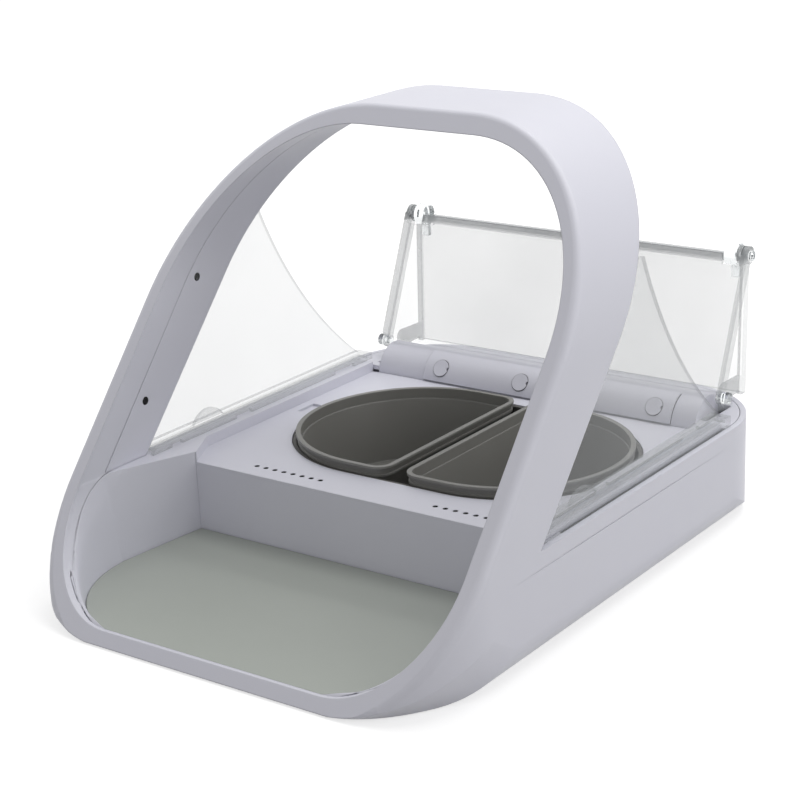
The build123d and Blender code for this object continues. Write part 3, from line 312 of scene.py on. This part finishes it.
def clear_sheet(name, broad, thin_veil, fold=None):
    """Clear sheet: a thin veil, denser at a glance, with painted shade on cut edges and above the
    fold's height.
    """
    made, tree, shader = start_material(name)
    place = tree.nodes.new("ShaderNodeTexCoord")
    along = tree.nodes.new("ShaderNodeVectorMath")
    along.operation = "DOT_PRODUCT"
    along.inputs[1].default_value = broad
    tree.links.new(place.outputs["Normal"], along.inputs[0])
    facing = math_node(tree, "ABSOLUTE", along.outputs["Value"], 0)
    edge = math_node(tree, "LESS_THAN", facing, EDGE_FACING)
    # cut edges get a darker colour: painted shade
    tree.links.new(socket_mix(tree, edge, CLEAR, CLEAR_EDGE_SHADE), shader.inputs["Base Color"])
    glance = tree.nodes.new("ShaderNodeLayerWeight")
    glance.inputs["Blend"].default_value = GLANCE_BLEND
    slant = math_node(tree, "MULTIPLY", glance.outputs["Fresnel"], SHEET_GLANCE)
    thin, dense = thin_veil * (1 - VEIL_SPREAD), thin_veil * (1 + VEIL_SPREAD)
    film = ramp(tree, noise(tree, FILM_DRIFT, 3.0), thin, dense)
    veil = math_node(tree, "ADD", film, slant)
    # denser veil above the fold: painted shade
    if fold:
        parts = tree.nodes.new("ShaderNodeSeparateXYZ")
        tree.links.new(place.outputs["Object"], parts.inputs[0])
        near = math_node(tree, "GREATER_THAN", parts.outputs["Z"], fold)
        veil = math_node(tree, "ADD", veil, math_node(tree, "MULTIPLY", near, FOLD_SHADE_VEIL))
    # denser veil on cut edges: painted shade
    rim = math_node(tree, "MULTIPLY", edge, EDGE_SHADE_VEIL)
    tree.links.new(math_node(tree, "ADD", veil, rim), shader.inputs["Alpha"])
    gloss = ramp(tree, noise(tree, CLEAR_GLOSS_DRIFT, 3.0), *SHEET_GLOSS)
    tree.links.new(gloss, shader.inputs["Roughness"])
    return made


def broad_side(mesh):
    """Direction that the largest area of a mesh faces, signs ignored."""
    halfway = Vector((1.0, 0.9, 0.8))
    areas = {}
    for face in mesh.polygons:
        normal = face.normal if face.normal.dot(halfway) > 0 else -face.normal
        key = tuple(round(value, 2) for value in normal)
        areas[key] = areas.get(key, 0.0) + face.area
    return max(areas, key=areas.get)


def metal(name, colour, roughness, stretch=(1, 1, 1)):
    """Metal with fine drawn lines."""
    made, tree, shader = start_material(name)
    shader.inputs["Metallic"].default_value = 1.0
    place = tree.nodes.new("ShaderNodeTexCoord")
    mapping = tree.nodes.new("ShaderNodeMapping")
    mapping.inputs["Scale"].default_value = stretch
    tree.links.new(place.outputs["Object"], mapping.inputs["Vector"])
    lines = tree.nodes.new("ShaderNodeTexNoise")
    lines.inputs["Scale"].default_value = METAL_LINES
    lines.inputs["Detail"].default_value = 3.0
    tree.links.new(mapping.outputs["Vector"], lines.inputs["Vector"])
    shown = socket_mix(tree, lines.outputs["Fac"], darker(colour, LINE_SHADE), colour)
    tree.links.new(shown, shader.inputs["Base Color"])
    smooth_end, rough_end = roughness - METAL_SPREAD, roughness + METAL_SPREAD
    gloss = ramp(tree, lines.outputs["Fac"], smooth_end, rough_end)
    tree.links.new(gloss, shader.inputs["Roughness"])
    face = bump(tree, lines.outputs["Fac"], LINE_DEPTH, LINE_STRENGTH)
    tree.links.new(face, shader.inputs["Normal"])
    return made


def make_materials():
    """One material for each slot of the record."""
    return {
        "white_shell": moulded("shell_plastic", SHELL, SHELL_SHADE, 0.42),
        "clear_plastic": clear_plastic("clear_knobs", CLEAR_KNOB),
        "mat": moulded("mat_rubber", MAT, MAT_SHADE, 0.62, 0.7, 0.12),
        "well_grey": moulded("well_plastic", WELL, darker(WELL, 0.8), 0.55),
        "bowl_grey": moulded("bowl_plastic", BOWL, BOWL_SHADE, 0.40, 0.4),
        # also worn by the dark cups and lines of painted shade and shadow in holes and gaps
        "dark_window": moulded("dark_window", DARK, DARK, 0.25),
        "copper_coil": metal("copper_winding", COPPER, 0.35, (1, 8, 8)),
        "steel": metal("steel", STEEL, 0.30, (0.1, 1, 1)),
        "brass_part": metal("brass", BRASS, 0.30),
        "cell_wrap": moulded("cell_wrap", CELL, CELL, 0.25),
        "board_green": moulded("board", BOARD, darker(BOARD, 0.7), 0.45),
        "button_grey": moulded("button_plastic", BUTTON, BUTTON_SHADE, 0.5),
        "lens": clear_plastic("lens", LENS_TINT, 0.1),
        "rubber_pad": moulded("rubber", RUBBER, RUBBER, 0.8, 0.6, 0.3),
    }


def dress(frame, materials):
    """Gives each node its material."""
    slots = {row["node"]: row["material_slot"] for row in frame["record"]["subparts"]}
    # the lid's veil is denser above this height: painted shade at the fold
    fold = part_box("lid_front_panel")[1][2] - FOLD_BAND
    for name, piece in frame["nodes"].items():
        piece.data.materials.clear()
        if name in SHEETS:
            lid = name.startswith("lid")
            veil = LID_VEIL if lid else SHIELD_VEIL
            broad = broad_side(piece.data)
            made = clear_sheet("clear_" + name, broad, veil, fold if lid else None)
            piece.data.materials.append(made)
        else:
            piece.data.materials.append(materials[slots[name]])


# ---- small pieces ------------------------------------------------------------
def link(thing):
    """Puts an object into the scene."""
    bpy.context.scene.collection.objects.link(thing)


def mesh_piece(name, build, material, body):
    """New piece from a bmesh builder, with its material, body and slot."""
    shape = bmesh.new()
    build(shape)
    bmesh.ops.recalc_face_normals(shape, faces=shape.faces)
    mesh = bpy.data.meshes.new(name)
    shape.to_mesh(mesh)
    shape.free()
    mesh.materials.append(material)
    piece = bpy.data.objects.new(name, mesh)
    link(piece)
    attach(piece, body)


def lathe(shape, profile, place, axis, count):
    """Turns a closed profile of (radius, height) millimetres about an axis through a place."""
    turn = Vector(axis).to_track_quat("Z", "Y")
    rings = []
    for step in range(count):
        angle = 2 * math.pi * step / count
        ring = []
        for radius, height in profile:
            point = Vector((radius * math.cos(angle), radius * math.sin(angle), height)) * MM
            ring.append(shape.verts.new(place + turn @ point))
        rings.append(ring)
    size = len(profile)
    for step in range(count):
        here, after = rings[step], rings[(step + 1) % count]
        for i in range(size):
            j = (i + 1) % size
            shape.faces.new((here[i], after[i], after[j], here[j]))


def shadow_bar(shape, points):
    """Sweeps the painted shadow line's square section along points, each with its side and up
    directions.
    """
    half = SHADOW_HALF * MM
    section = ((-half, -half), (half, -half), (half, half), (-half, half))
    rings = []
    for place, side, up in points:
        rings.append([shape.verts.new(place + s * Vector(side) + u * up) for s, u in section])
    size = len(section)
    for here, after in zip(rings, rings[1:]):
        for i in range(size):
            j = (i + 1) % size
            shape.faces.new((here[i], after[i], after[j], here[j]))
    shape.faces.new(rings[0])
    shape.faces.new(rings[-1][::-1])


def hole_shade_cups(materials):
    """Painted shade: dark cups in the deck's small holes, where the holes show only shade."""
    def build(shape):
        for start in HOLE_STARTS:
            for step in range(HOLE_COUNT):
                place = Vector((start + step * HOLE_PITCH, HOLE_Y, DECK_Z)) * MM
                lathe(shape, HOLE_CUP, place, (0, 0, 1), HOLE_SIDES)

    mesh_piece("hole_shade_cups", build, materials["dark_window"], "housing")


def on_drum(x, radius, angle):
    """Point and outward direction on the drum, at an angle in degrees."""
    turn = math.radians(angle)
    out = Vector((0, math.cos(turn), math.sin(turn)))
    return Vector((x, DRUM_Y, DRUM_Z)) * MM + out * radius * MM, out


def cap_gap_shadow(materials):
    """Painted shadow: dark rings in the gaps round the screw caps."""
    def build(shape):
        for x in CAP_XS:
            place, out = on_drum(x, HATCH_R, CAP_ANGLE)
            lathe(shape, CAP_RING, place, out, CAP_SIDES)

    mesh_piece("cap_gap_shadow", build, materials["dark_window"], "housing")


def hatch_shadow_line(materials):
    """Painted shadow: a dark line along the hatch's lower edge and both its ends."""
    def build(shape):
        ends = []
        for x in (HATCH_X - HATCH_HALF, HATCH_X + HATCH_HALF):
            place, out = on_drum(x, HATCH_R - SHADOW_LOW_DEPTH, HATCH_LOW + SHADOW_LOW_TURN)
            ends.append((place, (0, 0, 1), out))
        shadow_bar(shape, ends)
        for side in (-1, 1):
            x = HATCH_X + side * (HATCH_HALF + SHADOW_END_OUT)
            line = []
            for step in range(HATCH_STEPS + 1):
                angle = HATCH_HIGH + (HATCH_LOW - HATCH_HIGH) * step / HATCH_STEPS
                place, out = on_drum(x, HATCH_R - SHADOW_END_DEPTH, angle)
                line.append((place, (1, 0, 0), out))
            shadow_bar(shape, line)

    mesh_piece("hatch_shadow_line", build, materials["dark_window"], "housing")


# ---- tray corners ------------------------------------------------------------
def smooth(value):
    """Smooth step from 0 to 1."""
    value = min(1.0, max(0.0, value))
    return value * value * (3 - 2 * value)


def solid_tree(pieces):
    """Search tree over pieces, in millimetres."""
    points, faces = [], []
    for piece in pieces:
        base = len(points)
        points.extend(vert.co / MM for vert in piece.data.vertices)
        faces.extend([base + i for i in face.vertices] for face in piece.data.polygons)
    return BVHTree.FromPolygons(points, faces)


def face_depth(point):
    """How far behind the leaning face a point lies, along Y."""
    return point.y - FACE_FOOT_Y - FACE_SLOPE * point.z


def wall_radius(tree, centre, across, depth):
    """Least distance to the inner wall across the opening; one ray could pass a fine gap."""
    face_y = FACE_FOOT_Y + FACE_SLOPE * centre[1]
    found = []
    for deeper, turned in PROBES:
        start = Vector((centre[0], face_y + depth + deeper, centre[1]))
        way = Matrix.Rotation(turned, 2) @ across
        ray = Vector((way.x, FACE_SLOPE * way.y, way.y))
        distance = tree.ray_cast(start, ray.normalized())[3]
        if distance is not None:
            found.append(distance / ray.length)
    return min(found, default=CORNER_R)


def flare(tree, point):
    """How far a point moves out, in millimetres, and in which direction across the opening."""
    depth = face_depth(point)
    if not RIM_DEPTH <= depth <= FLARE_DEPTH:
        return 0.0, None
    if abs(point.x) < CORNER_X or point.z > CORNER_Z + FLARE_OVER:
        return 0.0, None
    centre = (math.copysign(CORNER_X, point.x), max(CORNER_Z, point.z))
    across = Vector((point.x - centre[0], point.z - centre[1]))
    radius = across.length
    if not FLARE_IN <= radius <= CORNER_R + FLARE_OUT:
        return 0.0, None
    across /= radius
    wall = wall_radius(tree, centre, across, max(depth, STEP_DEPTH))
    gap = CORNER_R - wall
    shift = (gap + math.hypot(gap, FLARE_BLEND)) / 2
    shift *= 1 - smooth((depth - STEP_DEPTH) / (FLARE_DEPTH - STEP_DEPTH))
    rise = (MAT_REAR[1] - MAT_FRONT[1]) / (MAT_REAR[0] - MAT_FRONT[0])
    mat = MAT_FRONT[1] + rise * (point.y - MAT_FRONT[0])
    shift *= smooth((point.z - mat) / FLARE_RISE)
    beyond = max(0.0, radius - wall)
    shift *= max(0.0, 1 - beyond / (SQUEEZE * shift + SQUEEZE_LEFT))
    return shift, Vector((across.x, 0, across.y))


def cut(shape, place, normal, picks):
    """Adds edges where a plane crosses the faces that picks() is true for."""
    faces = [face for face in shape.faces if picks(face.calc_center_median() / MM)]
    edges = dict.fromkeys(edge for face in faces for edge in face.edges)
    verts = dict.fromkeys(vert for face in faces for vert in face.verts)
    found = [*verts, *edges, *faces]
    bmesh.ops.bisect_plane(
        shape, geom=found, dist=CUT_WELD * MM, plane_co=Vector(place) * MM, plane_no=normal
    )


def near_corner(point):
    """True in the front corners of the tray."""
    if abs(point.x) <= CORNER_X - CUT_SIDE or point.z >= CORNER_Z + CUT_OVER:
        return False
    return face_depth(point) < FLARE_DEPTH + CUT_BEHIND


def under_rim(point):
    """True at the height of the tray's side walls."""
    return point.z < BEND_TOP


def read_shape(mesh):
    """Welded bmesh of a mesh, and the layer that keeps its corner normals."""
    shape = bmesh.new()
    shape.from_mesh(mesh)
    keep = shape.loops.layers.float_vector.new("kept_normal")
    for face, source in zip(shape.faces, mesh.polygons):
        for loop, index in zip(face.loops, source.loop_indices):
            loop[keep] = mesh.corner_normals[index].vector
    bmesh.ops.remove_doubles(shape, verts=shape.verts, dist=POINT_WELD * MM)
    return shape, keep


def add_edges(shape):
    """Cuts long faces in the corners and at the bend, so that they can follow a curve."""
    for depth in CUT_DEPTHS:
        cut(shape, (0, FACE_FOOT_Y + depth, 0), (0, 1, -FACE_SLOPE), near_corner)
    for height in CUT_HEIGHTS:
        cut(shape, (0, 0, height), (0, 0, 1), near_corner)
    for side in (-1, 0, 1):
        cut(shape, (0, BEND_Y + side * BEND_SOFT, 0), (0, 1, 0), under_rim)


def move_out(shape, tree):
    """Moves the corners' points outward and tells how far each went."""
    moved = {}
    for vert in shape.verts:
        shift, out = flare(tree, vert.co / MM)
        if shift > FLARE_LEAST:
            moved[vert] = (shift, out)
    for vert, (shift, out) in moved.items():
        vert.co += out * shift * MM
    shape.normal_update()
    return {vert: shift for vert, (shift, out) in moved.items()}


def smooth_normals(shape, keep, shares):
    """Mean normals of the faces that run on smoothly, at each point by its share."""
    for face in shape.faces:
        for loop in face.loops:
            normal = loop[keep].copy()
            if loop.vert in shares:
                total = Vector()
                for other in loop.vert.link_loops:
                    if other.face.normal.dot(face.normal) > SAME_FACE:
                        total += other.face.normal * other.calc_angle()
                normal = normal.lerp(total.normalized(), shares[loop.vert])
            loop[keep] = normal.normalized() if normal.length > 0 else face.normal


def write_mesh(shape, keep, name):
    """Mesh with the kept normals as its own; frees the bmesh."""
    mesh = bpy.data.meshes.new(name)
    shape.to_mesh(mesh)
    wanted = [tuple(loop[keep]) for face in shape.faces for loop in face.loops]
    shape.free()
    for layer_name in ("kept_normal", "custom_normal", "sharp_edge", "sharp_face"):
        layer = mesh.attributes.get(layer_name)
        if layer:
            mesh.attributes.remove(layer)
    mesh.shade_smooth()
    mesh.normals_split_custom_set(wanted)
    return mesh


def flared_copy(piece, tree, body, bend):
    """Stands for a CAD node with a copy whose inner wall runs out to the face's inner edge."""
    shape, keep = read_shape(piece.data)
    add_edges(shape)
    moved = move_out(shape, tree)
    shares = {vert: min(1.0, shift / FLARE_FULL) for vert, shift in moved.items()}
    if bend:
        for vert in shape.verts:
            if abs(vert.co.y / MM - BEND_Y) < BEND_NEAR:
                shares.setdefault(vert, 1.0)
    smooth_normals(shape, keep, shares)
    mesh = write_mesh(shape, keep, piece.name + "_shown")
    mesh.materials.append(piece.data.materials[0])
    copy = bpy.data.objects.new(piece.name + "_shown", mesh)
    link(copy)
    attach(copy, body)
    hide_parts(piece.name)


def smooth_corners(frame):
    """Puts smooth front corners on the housing and its tray liner."""
    hoop, liner = frame["nodes"]["housing_hoop"], frame["nodes"]["tray_liner"]
    tree = solid_tree([hoop, liner])
    flared_copy(hoop, tree, "housing", bend=False)
    flared_copy(liner, tree, "housing", bend=True)


# ---- stage -------------------------------------------------------------------
def make_camera():
    """Camera where the photograph was taken from."""
    data = bpy.data.cameras.new("camera")
    data.lens = LENS
    data.sensor_width = SENSOR
    camera = bpy.data.objects.new("camera", data)
    azimuth = math.radians(CAMERA_AZIMUTH)
    rise = math.radians(CAMERA_ELEVATION)
    back = Vector((
        math.sin(azimuth) * math.cos(rise),
        -math.cos(azimuth) * math.cos(rise),
        math.sin(rise),
    ))
    turn = (-back).to_track_quat("-Z", "Y").to_matrix().to_4x4()
    roll = Matrix.Rotation(math.radians(CAMERA_ROLL), 4, "Z")
    camera.matrix_world = Matrix.Translation(CAMERA_PLACE) @ turn @ roll
    link(camera)
    bpy.context.scene.camera = camera


def seen_factor(tree):
    """1 for rays that show the background itself: camera, glossy and transmission rays."""
    path = tree.nodes.new("ShaderNodeLightPath").outputs
    direct = math_node(tree, "MAXIMUM", path["Is Camera Ray"], path["Is Glossy Ray"])
    return math_node(tree, "MAXIMUM", direct, path["Is Transmission Ray"])


def make_world():
    """White surround that lights evenly and is white where it is seen."""
    world = bpy.data.worlds.new("studio")
    world.use_nodes = True
    tree = world.node_tree
    shade = tree.nodes["Background"]
    shade.inputs["Color"].default_value = WHITE
    level = tree.nodes.new("ShaderNodeMapRange")
    level.inputs["To Min"].default_value = WORLD_LEVEL
    level.inputs["To Max"].default_value = 1.0
    tree.links.new(seen_factor(tree), level.inputs["Value"])
    tree.links.new(level.outputs["Result"], shade.inputs["Strength"])
    bpy.context.scene.world = world


def make_floor():
    """Plain pale floor that keeps the object's shadow."""
    half = FLOOR_HALF
    corners = [(-half, -half, 0), (half, -half, 0), (half, half, 0), (-half, half, 0)]
    mesh = bpy.data.meshes.new("floor")
    mesh.from_pydata(corners, [], [(0, 1, 2, 3)])
    floor = bpy.data.objects.new("floor", mesh)
    floor.location.z = -FLOOR_DROP
    link(floor)
    made, tree, shader = start_material("floor")
    shader.inputs["Base Color"].default_value = (FLOOR_GREY, FLOOR_GREY, FLOOR_GREY, 1)
    shader.inputs["Roughness"].default_value = FLOOR_ROUGHNESS
    shader.inputs["Specular IOR Level"].default_value = 0.0
    shader.inputs["Emission Color"].default_value = WHITE
    place = tree.nodes.new("ShaderNodeTexCoord")
    reach = tree.nodes.new("ShaderNodeVectorMath")
    reach.operation = "LENGTH"
    tree.links.new(place.outputs["Object"], reach.inputs[0])
    level = tree.nodes.new("ShaderNodeMapRange")
    level.inputs["From Min"].default_value = FLOOR_NEAR
    level.inputs["From Max"].default_value = FLOOR_FAR
    level.inputs["To Min"].default_value = FLOOR_GLOW_NEAR
    level.inputs["To Max"].default_value = FLOOR_GLOW_FAR
    tree.links.new(reach.outputs["Value"], level.inputs["Value"])
    glow = math_node(tree, "MULTIPLY", seen_factor(tree), level.outputs["Result"])
    tree.links.new(glow, shader.inputs["Emission Strength"])
    mesh.materials.append(made)


def area_light(name, place, aim, size, watts):
    """Soft square lamp that points at a place."""
    data = bpy.data.lights.new(name, "AREA")
    data.shape = "RECTANGLE"
    data.size, data.size_y = size
    data.energy = watts
    lamp = bpy.data.objects.new(name, data)
    direction = Vector(aim) - Vector(place)
    turn = direction.to_track_quat("-Z", "Y").to_matrix().to_4x4()
    lamp.matrix_world = Matrix.Translation(place) @ turn
    link(lamp)


def make_light():
    """Overhead softbox behind the object and a weak fill from each side."""
    for lamp in LAMPS:
        area_light(*lamp)


# ---- the scene ---------------------------------------------------------------
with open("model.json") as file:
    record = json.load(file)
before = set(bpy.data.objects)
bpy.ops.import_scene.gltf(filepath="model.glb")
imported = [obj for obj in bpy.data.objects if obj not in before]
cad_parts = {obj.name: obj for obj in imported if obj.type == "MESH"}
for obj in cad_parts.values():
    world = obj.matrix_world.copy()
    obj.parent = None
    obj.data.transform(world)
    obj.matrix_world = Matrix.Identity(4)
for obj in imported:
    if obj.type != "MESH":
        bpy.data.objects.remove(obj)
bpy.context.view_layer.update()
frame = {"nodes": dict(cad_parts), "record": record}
bpy.context.scene.view_settings.view_transform = "Standard"
make_camera()
make_world()
make_floor()
make_light()
finishes = make_materials()
dress(frame, finishes)
smooth_corners(frame)
hole_shade_cups(finishes)
cap_gap_shadow(finishes)
hatch_shadow_line(finishes)
